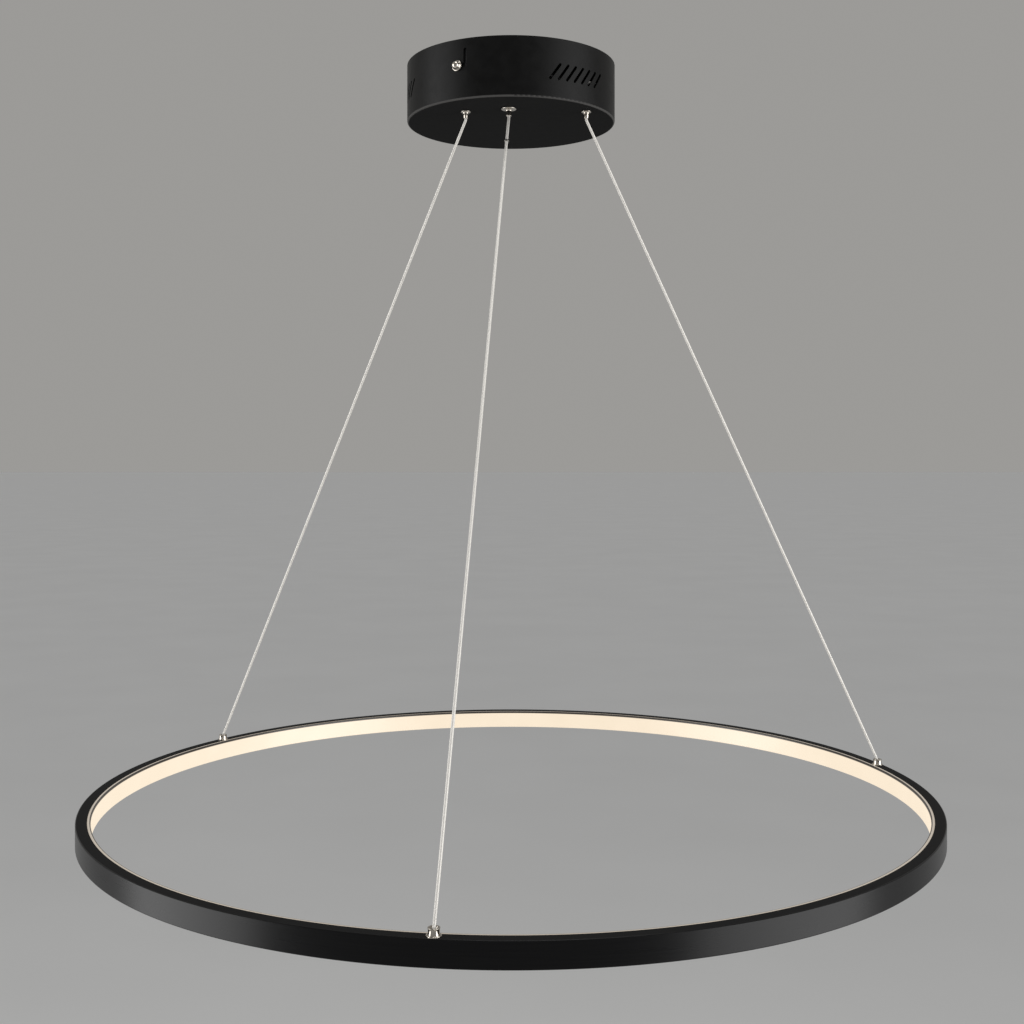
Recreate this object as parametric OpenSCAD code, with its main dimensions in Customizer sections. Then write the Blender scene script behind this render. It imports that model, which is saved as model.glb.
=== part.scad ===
// Ring pendant light: a drum canopy, three taut feed cables and a ring that is lit inwards.
// Millimetres, +Z up. The ceiling is the plane z = 0 and the canopy's axis is x = y = 0.
// An angle called a front angle starts at the front (-Y) and grows towards +X.

/* [Canopy] */
// Outer diameter of the canopy
canopy_d = 200; // [192:1:260]
// Height of the canopy below the ceiling
canopy_h = 55; // [50:1:80]
// Sheet thickness of the canopy
canopy_wall = 1.2; // [0.8:0.1:1.6]
// Outer radius of the canopy's bottom edge
canopy_edge_r = 1.8; // [1.5:0.1:5]
// Gap between the canopy's rim and the ceiling
rim_gap = 0.5; // [0.3:0.1:2]

/* [Vents] */
// Number of slots in a vent group
vent_n = 7; // [3:1:8]
// Front angle of the first vent group's middle
vent_angle = 38.1; // [34:0.1:42]
// Turn from the first vent group to the second
vent_turn = -120; // [-122:1:-110]
// Angle from one slot to the next
vent_pitch = 4.87; // [4:0.01:5.2]
// Height of the slots' middle above the canopy's bottom
vent_up = 24.8; // [22:0.1:28]
// Length of a slot
vent_l = 18.8; // [12:0.1:20]
// Width of a slot
vent_w = 2.5; // [1.2:0.1:3]
// Lean of a slot from upright
vent_lean = 37; // [20:1:40]

/* [Bracket] */
// Width of the ceiling bar and its tabs
bar_w = 20; // [16:1:26]
// Sheet thickness of the ceiling bar
bar_t = 1.5; // [1.2:0.1:2.5]
// Gap between the tabs' corners and the canopy
tab_gap = 0.4; // [0.3:0.1:2]
// Length of the tabs below the side screws
tab_below = 7; // [5:0.5:10]
// Diameter of the circle that the ceiling screws lie on
fixing_circle = 90; // [70:1:110]
// Diameter of the ceiling screw holes
fixing_hole = 5; // [4:0.1:6]
// Diameter of the supply hole in the bar
supply_hole = 12; // [9:0.5:13]
// Bore of the supply grommet
supply_bore = 7; // [5:0.1:7.5]
// Distance of the earth screw from the middle of the bar
earth_at = 27; // [22:1:32]

/* [Side screws] */
// Front angle of the front side screw, the other is opposite
screw_angle = -28.9; // [-40:0.1:-20]
// Depth of the side screws below the ceiling
screw_down = 24.3; // [20:0.1:27]
// Diameter of the side screws' thread
screw_d = 3; // [2.6:0.1:4]
// Diameter of the side screws' neck in the slot
screw_neck = 2.6; // [2:0.1:3.4]
// Diameter of the side screws' head
screw_head = 9.5; // [8:0.1:13]
// Height of the side screws' head
screw_head_h = 6; // [5.2:0.1:8]
// Gap between the side screws' neck and the slot
slot_gap = 0.3; // [0.2:0.05:0.6]
// Turn that unlocks the canopy
twist = 4.6; // [4:0.1:8]
// Length of the slot's upright leg
slot_leg = 16.8; // [10:0.1:18]

/* [Grippers] */
// Place of the front gripper, in shares of the canopy's radius
grip_front = [-0.02, -0.59]; // [-0.8:0.01:0.8]
// Place of the left gripper, in shares of the canopy's radius
grip_left = [-0.42, -0.49]; // [-0.8:0.01:0.8]
// Place of the right gripper, in shares of the canopy's radius
grip_right = [0.7, -0.49]; // [-0.8:0.01:0.8]
// Diameter of the threaded sleeve
sleeve_d = 7.4; // [7.4:0.1:8.4]
// Length of the sleeve above the canopy's floor
sleeve_l = 17; // [15:0.5:20]
// Diameter of the front gripper's flange
flange_front = 14; // [11:0.1:18]
// Diameter of the other grippers' flange
flange_side = 9.2; // [9.2:0.1:14]
// Thickness of the flanges
flange_t = 1; // [0.8:0.1:2.5]
// Diameter of the front plunger's stem
stem_front = 5.2; // [5:0.1:6]
// Diameter of the other plungers' stem
stem_side = 4.7; // [4.6:0.1:5.8]
// Length of the front plunger below its flange
stem_front_l = 6; // [4:0.5:10]
// Length of the other plungers below their flange
stem_side_l = 5.5; // [3:0.5:10]
// Travel of the plungers
plunger_travel = 1.5; // [1:0.1:1.8]
// Running clearance of the plungers, on the radius
plunger_gap = 0.05; // [0.03:0.01:0.1]
// Diameter of the gripping balls
ball_d = 1.3; // [1.2:0.1:1.6]

/* [Cables] */
// Diameter of the coated cables
cable_d = 2.5; // [1.6:0.1:2.7]
// Clearance round a cable in a bore, on the radius
cable_gap = 0.25; // [0.2:0.05:0.4]
// Distance from the canopy's bottom to the ring's top
drop = 641.5; // [400:0.5:1500]
// Distance along the front cable down to its bead
bead_down = 28; // [20:1:100]
// Diameter of the bead on the front cable
bead_d = 4.4; // [4:0.1:8]
// Thickness of the bead
bead_t = 1.6; // [1.5:0.1:4]

/* [Ring] */
// Outer diameter of the ring
ring_d = 800; // [600:10:1200]
// Height of the ring
ring_h = 20; // [19:0.5:30]
// Depth of the black profile from its outer face
ring_w = 10; // [10:0.1:14]
// Wall of the profile
ring_wall = 1.3; // [1:0.1:1.6]
// Radius of the profile's outer edges
ring_edge_r = 0.8; // [0.4:0.1:1.2]
// Distance that the diffuser stands in front of the profile
diffuser_proud = 3; // [2:0.1:5]
// Number of light chips on the strip
chip_n = 144; // [60:1:180]
// Width of the light strip
strip_w = 8; // [5:0.5:9]

/* [Sockets] */
// Plan angle of the front socket, from +X towards +Y
socket_front_angle = 262.5; // [250:0.5:275]
// Plan angle of the left socket
socket_left_angle = 146; // [135:1:160]
// Plan angle of the right socket
socket_right_angle = 14.5; // [0:0.5:30]
// Distance of the sockets' axis from the ring's outer face
socket_inset = 5.6; // [5.5:0.1:5.7]
// Diameter of the sockets' barrel
socket_d = 8.8; // [7:0.1:10]
// Height of the sockets above the ring
socket_h = 5.8; // [5:0.1:12]
// Diameter of the sockets' flange
socket_flange = 11; // [9:0.1:11.2]
// Diameter of the sockets' threaded spigot
spigot_d = 4.6; // [4.3:0.1:4.9]
// Radius of the sockets' mouth
mouth_r = 3; // [2.6:0.1:3.3]

/* [Driver] */
// Length of the driver's case
driver_l = 110; // [90:1:116]
// Width of the driver's case
driver_w = 46; // [40:1:48]
// Height of the driver's case
driver_h = 24; // [22:0.5:28]
// Wall of the driver's case
driver_wall = 1.6; // [1.2:0.1:2]
// Distance of the driver's middle behind the canopy's axis
driver_back = 44; // [42:0.5:45]
// Width of the strap over the driver
strap_w = 14; // [12:1:20]
// Sheet thickness of the strap
strap_t = 1; // [0.8:0.1:1.5]
// Diameter of the welded studs
stud_d = 4; // [3:0.1:4.4]

/* [Hidden] */
$fn = 64;
eps = 0.01;
// Play between pieces that are fitted together by hand
fit = 0.1;
// Gap at a press or thread fit
snug = 0.05;

canopy_r = canopy_d / 2;
canopy_ri = canopy_r - canopy_wall;
under_z = -canopy_h;
floor_z = under_z + canopy_wall;

tab_face = sqrt(pow(canopy_ri - tab_gap, 2) - pow(bar_w / 2, 2));
tab_bottom = -screw_down - tab_below;
clinch_t = 2.5;
clinch_d = 6.5;
clinch_spigot = screw_d + 1.2;
screw_play = 0.35;
screw_seat = canopy_r + screw_play;
screw_tip = 2;
slot_w = screw_neck + 2 * slot_gap;
screw_angles = [screw_angle, screw_angle + 180];

earth_d = 4;
earth_head = 8;
earth_head_h = 2.6;
earth_washer_t = 1;
earth_l = 6;

grips = canopy_r * [grip_front, grip_left, grip_right];
flange_ds = [flange_front, flange_side, flange_side];
stem_ds = [stem_front, stem_side, stem_side];
stem_ls = [stem_front_l, stem_side_l, stem_side_l];
sleeve_hole = sleeve_d + 2 * fit;
washer_t = 0.8;
washer_d = 13;
nut_af = 11;
nut_t = 3;
cap_t = 1.6;
cable_bore = cable_d + 2 * cable_gap;
cage_d = cable_bore + 1.2;
// Heights in a gripper, counted up from the canopy's underside
guide_top = 5;
cone_low = 6;
cone_high = 9.6;
sleeve_top = canopy_wall + sleeve_l;
cage_top = 10.5;
ball_r_at = cable_d / 2 + snug + ball_d / 2;
ball_up = 8.5;
cone_low_r = cage_d / 2 + fit;
// The cone's wall stands one snug gap behind the balls
cone_high_r = cone_low_r + (ball_r_at + ball_d / 2 + snug - cone_low_r) * (cone_high - cone_low)
    / (ball_up - cone_low);
spring_wire = 0.4;
spring_turns = 5;
spring_sides = 6;
spring_steps = 10;

ring_r = ring_d / 2;
ring_ri = ring_r - ring_w;
ring_top = under_z - drop;
ring_bottom = ring_top - ring_h;
ring_mid = ring_top - ring_h / 2;
hook = 0.5;
leg_t = 1;
diffuser_edge = 0.25;
strip_t = 1;
chip_l = 3.5;
chip_h = 2.8;
chip_t = 0.8;
strip_r = ring_r - ring_wall - snug;
chip_r = strip_r - strip_t - snug;

socket_angles = [socket_front_angle, socket_left_angle, socket_right_angle];
socket_r = ring_r - socket_inset;
socket_flange_t = 0.8;
spigot_l = 4.8;
spigot_hole = spigot_d + 2 * fit;
socket_washer_t = 0.5;
socket_washer_d = 6.4;
socket_nut_t = 2.4;
socket_nut_af = 6.4;
mouth_depth = 2.6;
ferrule_d = 4.4;
ferrule_l = 4;
ferrule_base = 0.4;
waist_r = 9;
waist_depth = 0.3;
waist_up = socket_h / 2 + 0.4;
pivot_down = 1;

stud_l = 9;
stud_base_t = 0.8;
stud_out = 7;
stud_nut_af = 7;
stud_nut_t = 3.2;
strap_foot = 13;
driver_top = floor_z + driver_h;
board_t = 1.6;
board_up = 3;
board_z = floor_z + driver_wall + board_up;
board_top = board_z + board_t;
lead_d = 1.8;
lead_hole = 5;

block_l = 28;
block_w = 16;
block_h = 14;
block_at = [-45, -5];
block_pole = 9;

// The last number is a height above the canopy's floor in both
function inside(x, y, h) = [x, y, floor_z + h];
function from_grip(i, x, y, h) = inside(grips[i][0] + x, grips[i][1] + y, h);

// Where the leads leave the driver and the block, and where the connectors on the tails lie
lead_z = floor_z + driver_wall + 8.4;
input_y = driver_back - 2;
plus_y = driver_back - 4;
minus_y = driver_back + 6;
block_hole_up = 6;
crimp_d = 5;
crimp_l = 12;
crimp_in = 22;
crimp_front_in = 16.5;
crimp_right = [for (y = [-15, -15 - crimp_l]) inside(canopy_r - crimp_in, y, 20.8)];
crimp_front = [for (x = [2 * crimp_l, crimp_l]) inside(x, crimp_front_in - canopy_r, 23.8)];
crimp_left = [from_grip(1, -27.6, 23, 27.8), from_grip(1, -31.6, 27, 26.3)];

// Routes of the leads and of the cables' tails inside the canopy, between their two ends
case_x = driver_l / 2 + fit;
lead_out = 11;
plus_in = 21;
minus_in = 36;
input_route = [inside(block_at[0] - block_pole + 1, 10, 7.8), inside(-case_x - lead_out, 22, 9.8),
    inside(-case_x - lead_out, input_y - 2, 10.8)];
plus_route = [inside(case_x + lead_out, plus_y - 2, 11.8), inside(canopy_r - plus_in, 14, 15.8),
    inside(canopy_r - plus_in, -6, 19.8)];
minus_route = [inside(case_x + lead_out, minus_y, 20), inside(canopy_r - minus_in, 20, 27),
    inside(canopy_r - minus_in, -20, 26), from_grip(2, -12.6, 7, 24), from_grip(2, -24.6, -17, 24),
    crimp_front[0] + [10, 3.5, 0]];
front_tail = [from_grip(0, 0, 0, 24.8), from_grip(0, -2, -11, 28.8), crimp_front[1] + [-8, 1.5, 1]];
left_tail = [from_grip(1, 0, 0, 24.8), from_grip(1, -7.4, 9, 29.8), from_grip(1, -21.4, 17, 29.8)];
right_tail = [from_grip(2, 0, 0, 24.8), from_grip(2, 4.4, 11, 28.8), crimp_right[1] + [0, -5, 1]];
tail_gap = 0.3;

function unit(v) = v / norm(v);
// The three points turn into a short curve of n steps that starts and ends on the two straight runs
function bend(a, p, b, n) = [for (i = [0 : n]) let (t = i / n)
    (1 - t) * (1 - t) * a + 2 * t * (1 - t) * p + t * t * b];
function rounded(p, cut, n) = concat([p[0]],
    [for (i = [1 : len(p) - 2])
        let (into = p[i] + cut * unit(p[i - 1] - p[i]), out = p[i] + cut * unit(p[i + 1] - p[i]))
        each bend(into, p[i], out, n)],
    [p[len(p) - 1]]);
function tangent(p, i) = unit(p[min(i + 1, len(p) - 1)] - p[max(i - 1, 0)]);

// Turns +X to a front angle
module front_turn(a) {
    rotate([0, 0, 270 + a]) children();
}

// A round tube along a path of points, ref is never along the path
module wire(path, d, ref, sides = 8) {
    n = len(path);
    rings = [for (i = [0 : n - 1]) let (t = tangent(path, i), u = unit(cross(t, ref)), v = cross(t, u))
        for (k = [0 : sides - 1]) let (a = 360 * k / sides) path[i] + d / 2 * (cos(a) * u + sin(a) * v)];
    start_cap = [for (k = [1 : sides - 2]) [0, k, k + 1]];
    end_cap = [for (k = [1 : sides - 2]) [(n - 1) * sides, (n - 1) * sides + k + 1, (n - 1) * sides + k]];
    skin = [for (i = [0 : n - 2], k = [0 : sides - 1])
        let (a = i * sides + k, b = i * sides + (k + 1) % sides)
        each [[a, a + sides, b], [b, a + sides, b + sides]]];
    polyhedron(points = rings, faces = concat(start_cap, end_cap, skin));
}

module ring_of(outer_d, inner_d, h) {
    difference() {
        cylinder(d = outer_d, h = h);
        translate([0, 0, -1]) cylinder(d = inner_d, h = h + 2);
    }
}

module hex_nut(af, bore, h) {
    difference() {
        cylinder(d = af / cos(30), h = h, $fn = 6);
        translate([0, 0, -1]) cylinder(d = bore, h = h + 2);
    }
}

// An outline with round ends
module round_slot(l, w) {
    square([w, l - w], center = true);
    translate([0, (l - w) / 2]) circle(d = w);
    translate([0, -(l - w) / 2]) circle(d = w);
}

/* [Hidden] */
// Bracket

module bar_shape() {
    difference() {
        union() {
            translate([-tab_face, -bar_w / 2, -bar_t]) cube([2 * tab_face, bar_w, bar_t]);
            for (s = [0, 180]) {
                rotate([0, 0, s]) translate([tab_face - bar_t, -bar_w / 2, tab_bottom])
                    cube([bar_t, bar_w, -tab_bottom]);
            }
        }
        for (s = [0, 180]) {
            rotate([0, 0, s]) {
                translate([fixing_circle / 2, 0, -bar_t - 1]) cylinder(d = fixing_hole, h = bar_t + 2);
                translate([tab_face - bar_t - 1, 0, -screw_down]) rotate([0, 90, 0])
                    cylinder(d = clinch_spigot + 2 * snug, h = bar_t + 2);
            }
        }
        translate([0, 0, -bar_t - 1]) cylinder(d = supply_hole, h = bar_t + 2);
        translate([earth_at, 0, -bar_t - 1]) cylinder(d = earth_d + 1.3, h = bar_t + 2);
    }
}

module ceiling_bracket() {
    color("silver") front_turn(screw_angle) bar_shape();
}

// A nut body behind the sheet with a spigot pressed into it, along +Z from its free face
module clinch_nut(thread_d, body_d, spigot_d) {
    difference() {
        union() {
            cylinder(d = body_d, h = clinch_t);
            cylinder(d = spigot_d, h = clinch_t + bar_t - snug);
        }
        translate([0, 0, -1]) cylinder(d = thread_d + 2 * snug, h = clinch_t + bar_t + 2);
    }
}

module clinch_nuts() {
    color("gainsboro") {
        for (a = screw_angles) {
            front_turn(a) translate([tab_face - bar_t - clinch_t, 0, -screw_down]) rotate([0, 90, 0])
                clinch_nut(screw_d, clinch_d, clinch_spigot);
        }
        front_turn(screw_angle) translate([earth_at, 0, -bar_t - clinch_t])
            clinch_nut(earth_d, clinch_d + 1.5, earth_d + 1.2);
    }
}

module supply_grommet() {
    lip = 1.2;
    color("black") difference() {
        union() {
            translate([0, 0, -bar_t]) cylinder(d = supply_hole - 2 * snug, h = bar_t);
            translate([0, 0, -bar_t - lip]) cylinder(d = supply_hole + 3, h = lip);
        }
        translate([0, 0, -bar_t - lip - 1]) cylinder(d = supply_bore, h = bar_t + lip + 2);
    }
}

module earth_screw() {
    head_z = -bar_t - clinch_t - earth_washer_t - earth_head_h;
    color("goldenrod") front_turn(screw_angle) translate([earth_at, 0, 0]) difference() {
        union() {
            translate([0, 0, head_z]) cylinder(d = earth_head, h = earth_head_h);
            translate([0, 0, head_z]) cylinder(d = earth_d, h = earth_head_h + earth_l - 1);
        }
        translate([-0.5, -earth_head, head_z - 1]) cube([1, 2 * earth_head, 2.1]);
        translate([-earth_head, -0.5, head_z - 1]) cube([2 * earth_head, 1, 2.1]);
    }
}

module earth_washer() {
    color("goldenrod") front_turn(screw_angle)
        translate([earth_at, 0, -bar_t - clinch_t - earth_washer_t])
            ring_of(earth_head + 2, earth_d + 0.4, earth_washer_t);
}

// Along +X from the canopy's axis, with the head outside
module side_screw(a) {
    dome_r = screw_head / 2 - 1.2;
    shank_in = tab_face - bar_t - clinch_t - screw_tip;
    color("gainsboro") front_turn(a) translate([0, 0, -screw_down]) rotate([0, 90, 0]) {
        translate([0, 0, shank_in]) cylinder(d = screw_d, h = tab_face - shank_in);
        translate([0, 0, tab_face - eps]) cylinder(d = screw_neck, h = screw_seat - tab_face + 2 * eps);
        translate([0, 0, screw_seat]) rotate_extrude() {
            square([screw_head / 2, 1]);
            difference() {
                square([screw_head / 2 - 0.6, screw_head_h - dome_r]);
                translate([screw_head / 2 + 0.35, 2.3]) circle(r = 1.3);
            }
            intersection() {
                translate([0, screw_head_h - dome_r]) circle(r = dome_r);
                square([screw_head, screw_head_h]);
            }
        }
    }
}

module side_screw_front() { side_screw(screw_angles[0]); }
module side_screw_rear() { side_screw(screw_angles[1]); }

/* [Hidden] */
// Canopy

module drum_outline(r, edge, low, high) {
    translate([0, low]) square([r - edge, high - low]);
    translate([0, low + edge]) square([r, high - low - edge]);
    translate([r - edge, low + edge]) circle(r = edge);
}

module vent_group(a) {
    for (i = [0 : vent_n - 1]) {
        front_turn(a + (i - (vent_n - 1) / 2) * vent_pitch) translate([canopy_ri - 2, 0, under_z + vent_up])
            rotate([90, 0, 90]) linear_extrude(canopy_wall + 4) rotate([0, 0, -vent_lean])
                round_slot(vent_l, vent_w);
    }
}

// An upright leg with a short turn at its foot that ends at the side screw
module bayonet_outline() {
    half = (canopy_r - canopy_wall / 2) * sin(twist / 2);
    rise = slot_leg - slot_w;
    translate([-half, -slot_w / 2]) square([2 * half, slot_w]);
    translate([half - slot_w / 2, 0]) square([slot_w, rise]);
    translate([-half, 0]) circle(d = slot_w);
    translate([half, 0]) circle(d = slot_w);
    translate([half, rise]) circle(d = slot_w);
}

module bayonet_slot(a) {
    front_turn(a + twist / 2) translate([canopy_ri - 2, 0, -screw_down]) rotate([90, 0, 90])
        linear_extrude(canopy_wall + 4) bayonet_outline();
}

module canopy_shell() {
    color("dimgray") difference() {
        rotate_extrude($fn = 180) intersection() {
            difference() {
                drum_outline(canopy_r, canopy_edge_r, under_z, -rim_gap);
                drum_outline(canopy_ri, canopy_edge_r - canopy_wall, floor_z, -rim_gap + 1);
            }
            translate([0, under_z - 1]) square([canopy_r + 1, canopy_h + 1]);
        }
        for (g = grips) {
            translate([g[0], g[1], under_z - 1]) cylinder(d = sleeve_hole, h = canopy_wall + 2);
        }
        vent_group(vent_angle);
        vent_group(vent_angle + vent_turn);
        for (a = screw_angles) {
            bayonet_slot(a);
        }
    }
}

stud_ys = [driver_back - driver_w / 2 - stud_out, driver_back + driver_w / 2 + stud_out];

module canopy_studs() {
    color("silver") for (y = stud_ys) {
        translate([0, y, floor_z]) {
            cylinder(d = stud_d, h = stud_l);
            cylinder(d = stud_d + 1.2, h = stud_base_t);
        }
    }
}

module stud_nuts() {
    color("silver") for (y = stud_ys) {
        translate([0, y, floor_z + stud_base_t + strap_t + snug])
            hex_nut(stud_nut_af, stud_d + 2 * snug, stud_nut_t);
    }
}

module driver_strap() {
    inner_w = driver_w + 2 * fit;
    inner_top = driver_top + fit;
    low = floor_z + stud_base_t;
    color("silver") difference() {
        translate([-strap_w / 2, driver_back, 0]) {
            for (s = [-1, 1]) {
                translate([0, s > 0 ? inner_w / 2 : -inner_w / 2 - strap_t, low])
                    cube([strap_w, strap_t, inner_top + strap_t - low]);
                translate([0, s > 0 ? inner_w / 2 : -inner_w / 2 - strap_foot, low])
                    cube([strap_w, strap_foot, strap_t]);
            }
            translate([0, -inner_w / 2 - strap_t, inner_top])
                cube([strap_w, inner_w + 2 * strap_t, strap_t]);
        }
        for (y = stud_ys) {
            translate([0, y, low - 1]) cylinder(d = stud_d + 4 * fit, h = strap_t + 2);
        }
    }
}

// A box that stands on z, with its middle over the driver's middle
module driver_box(l, w, z, h) {
    translate([-l / 2, driver_back - w / 2, z]) cube([l, w, h]);
}

module driver_base() {
    inner_l = driver_l - 2 * driver_wall;
    inner_w = driver_w - 2 * driver_wall;
    post = 5;
    post_z = floor_z + driver_wall / 2;
    color("white") difference() {
        union() {
            difference() {
                driver_box(driver_l, driver_w, floor_z, driver_h - driver_wall);
                driver_box(inner_l, inner_w, floor_z + driver_wall, driver_h);
            }
            for (sx = [-1, 1], sy = [-1, 1]) {
                translate([sx * (inner_l / 2 - post), driver_back + sy * (inner_w / 2 - post), post_z])
                    cylinder(d = post, h = board_z - post_z);
            }
        }
        translate([-driver_l, input_y, lead_z]) rotate([0, 90, 0]) cylinder(d = lead_hole, h = driver_l);
        translate([0, plus_y, lead_z]) rotate([0, 90, 0]) cylinder(d = lead_hole, h = driver_l);
        translate([0, minus_y, lead_z]) rotate([0, 90, 0]) cylinder(d = lead_hole, h = driver_l);
    }
}

module driver_lid() {
    lip_gap = 2 * driver_wall + 2 * fit;
    color("white") {
        driver_box(driver_l, driver_w, driver_top - driver_wall, driver_wall);
        difference() {
            driver_box(driver_l - lip_gap, driver_w - lip_gap, driver_top - driver_wall - 2, 2);
            driver_box(driver_l - lip_gap - 2.4, driver_w - lip_gap - 2.4, driver_top - driver_wall - 3, 3);
        }
    }
}

module driver_board() {
    color("seagreen")
        driver_box(driver_l - 2 * driver_wall - 1, driver_w - 2 * driver_wall - 1, board_z, board_t);
}

module driver_parts() {
    translate([0, driver_back, board_top]) {
        color("khaki") translate([-10, -11, 0]) cube([24, 22, 13]);
        color("navy") translate([-24, 8, 0]) cylinder(d = 10, h = 12);
        color("navy") translate([30, -6, 0]) cylinder(d = 8, h = 12);
        color("darkorange") translate([-36, -12, 0]) cube([12, 6, 10]);
        color("black") translate([22, 6, 0]) cube([5, 10, 11]);
        color("dimgray") translate([-46, 2, 0]) cube([10, 4, 8]);
        color("seagreen") translate([41, -12, 0]) cube([8, 16, 8]);
    }
}

module block_screw_places() {
    for (i = [-1, 0, 1], j = [-1, 1]) {
        translate([block_at[0] + i * block_pole, block_at[1] + j * 4.5, 0]) children();
    }
}

module terminal_block() {
    color("whitesmoke") difference() {
        translate([block_at[0] - block_l / 2, block_at[1] - block_w / 2, floor_z])
            cube([block_l, block_w, block_h]);
        block_screw_places() translate([0, 0, floor_z + block_h - 6]) cylinder(d = 4.2, h = 7);
        for (i = [-1, 0, 1]) {
            translate([block_at[0] + i * block_pole, block_at[1] - block_w, floor_z + block_hole_up])
                rotate([-90, 0, 0]) cylinder(d = 4, h = 2 * block_w);
        }
        for (i = [-0.5, 0.5]) {
            translate([block_at[0] + i * block_pole - 0.5, block_at[1] - block_w, floor_z + block_h - 4])
                cube([1, 2 * block_w, 5]);
        }
    }
}

module terminal_screws() {
    color("silver") block_screw_places() translate([0, 0, floor_z + block_h - 5.9]) difference() {
        cylinder(d = 4, h = 4);
        translate([-3, -0.4, 3]) cube([6, 0.8, 2]);
    }
}

up = [0, 0, 1];

// A lead or tail from one end to the other by way of its route
module routed(start, route, end, d, ref) {
    wire(rounded(concat([start], route, [end]), 3, 4), d, ref);
}

module input_leads() {
    block_y = block_at[1] + block_w / 2 + fit;
    block_z = floor_z + block_hole_up;
    apart = [block_pole, 0, 0];
    over = [0, 0, 2.4];
    live = [block_at[0] - block_pole, block_y, block_z];
    case_end = [-case_x, input_y, lead_z];
    neutral_route = [input_route[0] + apart, input_route[1] + over, input_route[2] + over];
    color("saddlebrown") routed(live, input_route, case_end - over / 2, lead_d, up);
    color("royalblue") routed(live + apart, neutral_route, case_end + over / 2, lead_d, up);
}

module output_leads() {
    plus_end = crimp_right[0] + [0, tail_gap, 0];
    minus_end = crimp_front[0] + [tail_gap, 0, 0];
    color("firebrick") routed([case_x, plus_y, lead_z], plus_route, plus_end, lead_d, up);
    color("black") routed([case_x, minus_y, lead_z], minus_route, minus_end, lead_d, up);
}

/* [Hidden] */
// Cable grippers

module at_grip(i) {
    translate([grips[i][0], grips[i][1], under_z]) children();
}

module gripper_body(i) {
    stem_r = stem_ds[i] / 2;
    flange_r = flange_ds[i] / 2;
    neck = 1.6;
    color("gainsboro") at_grip(i) rotate_extrude() difference() {
        union() {
            square([sleeve_d / 2, sleeve_top]);
            translate([0, -flange_t]) square([flange_r - 0.5, flange_t]);
            translate([0, -flange_t + 0.5]) square([flange_r, flange_t - 0.5]);
            translate([flange_r - 0.5, -flange_t + 0.5]) circle(r = 0.5);
            translate([0, -flange_t - neck]) square([stem_r + plunger_gap + neck * 0.7, neck]);
        }
        translate([stem_r + plunger_gap + neck * 1.3, -flange_t - neck]) circle(r = neck);
        translate([-1, -flange_t - neck - 1])
            square([1 + stem_r + plunger_gap, flange_t + neck + 1 + guide_top]);
        translate([-1, guide_top - 1]) square([1 + cone_low_r, cone_low - guide_top + 1 + eps]);
        polygon([[0, cone_low], [cone_low_r, cone_low], [cone_high_r, cone_high],
            [cone_high_r, sleeve_top + 1], [0, sleeve_top + 1]]);
    }
}

module gripper_body_front() { gripper_body(0); }
module gripper_body_left() { gripper_body(1); }
module gripper_body_right() { gripper_body(2); }

module gripper_washers() {
    color("silver") for (i = [0 : 2]) {
        at_grip(i) translate([0, 0, canopy_wall]) ring_of(washer_d, sleeve_d + 2 * fit, washer_t);
    }
}

module gripper_nuts() {
    color("silver") for (i = [0 : 2]) {
        at_grip(i) translate([0, 0, canopy_wall + washer_t]) hex_nut(nut_af, sleeve_d + 2 * snug, nut_t);
    }
}

module gripper_caps() {
    color("gainsboro") for (i = [0 : 2]) {
        at_grip(i) translate([0, 0, sleeve_top]) difference() {
            union() {
                cylinder(d = sleeve_d, h = cap_t);
                translate([0, 0, -2]) cylinder(r = cone_high_r - snug, h = 2 + eps);
            }
            translate([0, 0, -3]) cylinder(d = cable_bore, h = cap_t + 4);
        }
    }
}

// A closed helix between the cage's top and the cap, with its ends on them
module gripper_spring(i) {
    low = cage_top + spring_wire / 2 + snug;
    high = sleeve_top - 2 - spring_wire / 2 - snug;
    r = (cage_d - spring_wire) / 2;
    steps = spring_turns * spring_steps;
    path = [for (s = [0 : steps]) let (a = 360 * s / spring_steps)
        [r * cos(a), r * sin(a), low + (high - low) * s / steps]];
    color("silver") at_grip(i) wire(path, spring_wire, up, spring_sides);
}

module gripper_spring_front() { gripper_spring(0); }
module gripper_spring_left() { gripper_spring(1); }
module gripper_spring_right() { gripper_spring(2); }

module plunger(i) {
    stem_r = stem_ds[i] / 2;
    low = -flange_t - stem_ls[i];
    shoulder = guide_top - plunger_travel - 0.3;
    tip_r = i == 0 ? stem_r : cable_bore / 2 + 0.5;
    color("gainsboro") at_grip(i) difference() {
        rotate_extrude() difference() {
            union() {
                polygon([[0, low], [tip_r - 0.2, low], [tip_r, low + 0.2],
                    [stem_r, -flange_t - plunger_travel - 1], [stem_r, shoulder], [0, shoulder]]);
                translate([0, shoulder - 1]) square([cage_d / 2, cage_top - shoulder + 1]);
            }
            translate([-1, low - 1]) square([1 + cable_bore / 2, cage_top - low + 2]);
            polygon([[0, low - eps], [cable_bore / 2 + 0.2, low - eps],
                [cable_bore / 2, low + 1.2], [0, low + 1.2]]);
        }
        for (a = [0, 120, 240]) {
            rotate([0, 0, a]) translate([0, 0, ball_up]) rotate([0, 90, 0])
                cylinder(d = ball_d + 2 * snug, h = cage_d);
        }
    }
}

module plunger_front() { plunger(0); }
module plunger_left() { plunger(1); }
module plunger_right() { plunger(2); }

module gripper_balls(i) {
    color("silver") at_grip(i) for (a = [0, 120, 240]) {
        rotate([0, 0, a]) translate([ball_r_at, 0, ball_up]) sphere(d = ball_d, $fn = 24);
    }
}

module gripper_balls_front() { gripper_balls(0); }
module gripper_balls_left() { gripper_balls(1); }
module gripper_balls_right() { gripper_balls(2); }

/* [Hidden] */
// Cables

cable_top = under_z + sleeve_top + cap_t;
cable_turn = 1.5;

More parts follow.
